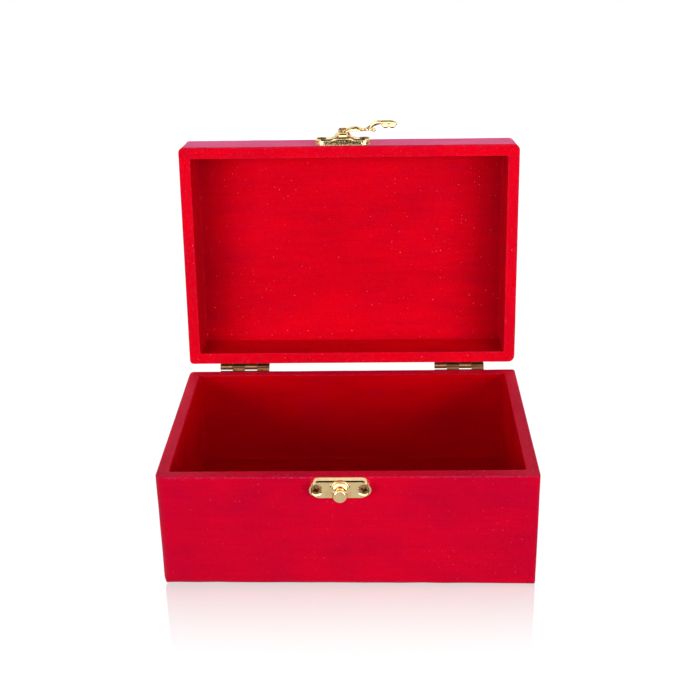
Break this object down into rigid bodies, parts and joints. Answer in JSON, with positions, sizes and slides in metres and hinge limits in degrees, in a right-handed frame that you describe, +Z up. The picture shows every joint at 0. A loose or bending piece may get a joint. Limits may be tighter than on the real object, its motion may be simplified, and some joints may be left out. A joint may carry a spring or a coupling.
{
  "type": "kumkum box",
  "caption": "Small painted wooden box with a hinged lid standing open, and a swing hook on the lid that catches a knob on the front. Holds kumkum or other small things.",
  "frame": {"origin": "centre of the box's underside, on the surface it stands on", "axes": "+X to the right seen from the front, the front with the latch faces -Y, +Z up; the lid stands open behind the box"},
  "size_m": [0.165, 0.1571, 0.1774],
  "materials": {
    "painted_wood": "matte red stain on smooth board",
    "bright_brass": "polished",
    "aged_brass": "dull, slightly aged"
  },
  "bodies": {
    "box": {"front_board": "painted_wood", "back_board": "painted_wood", "left_board": "painted_wood", "right_board": "painted_wood", "bottom_board": "painted_wood", "catch_plate": "bright_brass", "catch_knob": "bright_brass", "catch_screws": "bright_brass", "left_hinge_box_leaf": "aged_brass", "left_hinge_pin": "aged_brass", "left_hinge_box_screws": "aged_brass", "right_hinge_box_leaf": "aged_brass", "right_hinge_pin": "aged_brass", "right_hinge_box_screws": "aged_brass"},
    "lid": {"lid_front_board": "painted_wood", "lid_back_board": "painted_wood", "lid_left_board": "painted_wood", "lid_right_board": "painted_wood", "lid_top_panel": "painted_wood", "latch_plate": "bright_brass", "latch_rivet": "bright_brass", "latch_screws": "bright_brass", "left_hinge_lid_leaf": "aged_brass", "left_hinge_lid_screws": "aged_brass", "right_hinge_lid_leaf": "aged_brass", "right_hinge_lid_screws": "aged_brass"},
    "hook": {"latch_hook": "bright_brass"}
  },
  "joints": [
    {"name": "lid_hinge", "type": "hinge", "parent": "box", "child": "lid", "pos_m": [0, 0.057, 0.0562], "axis": [1, 0, 0], "range_deg": [0, 96]},
    {"name": "hook_pivot", "type": "hinge", "parent": "lid", "child": "hook", "pos_m": [-0.0028, 0.07497, 0.16693], "axis": [0, -0.1045, -0.9945], "range_deg": [-225, 90]}
  ]
}
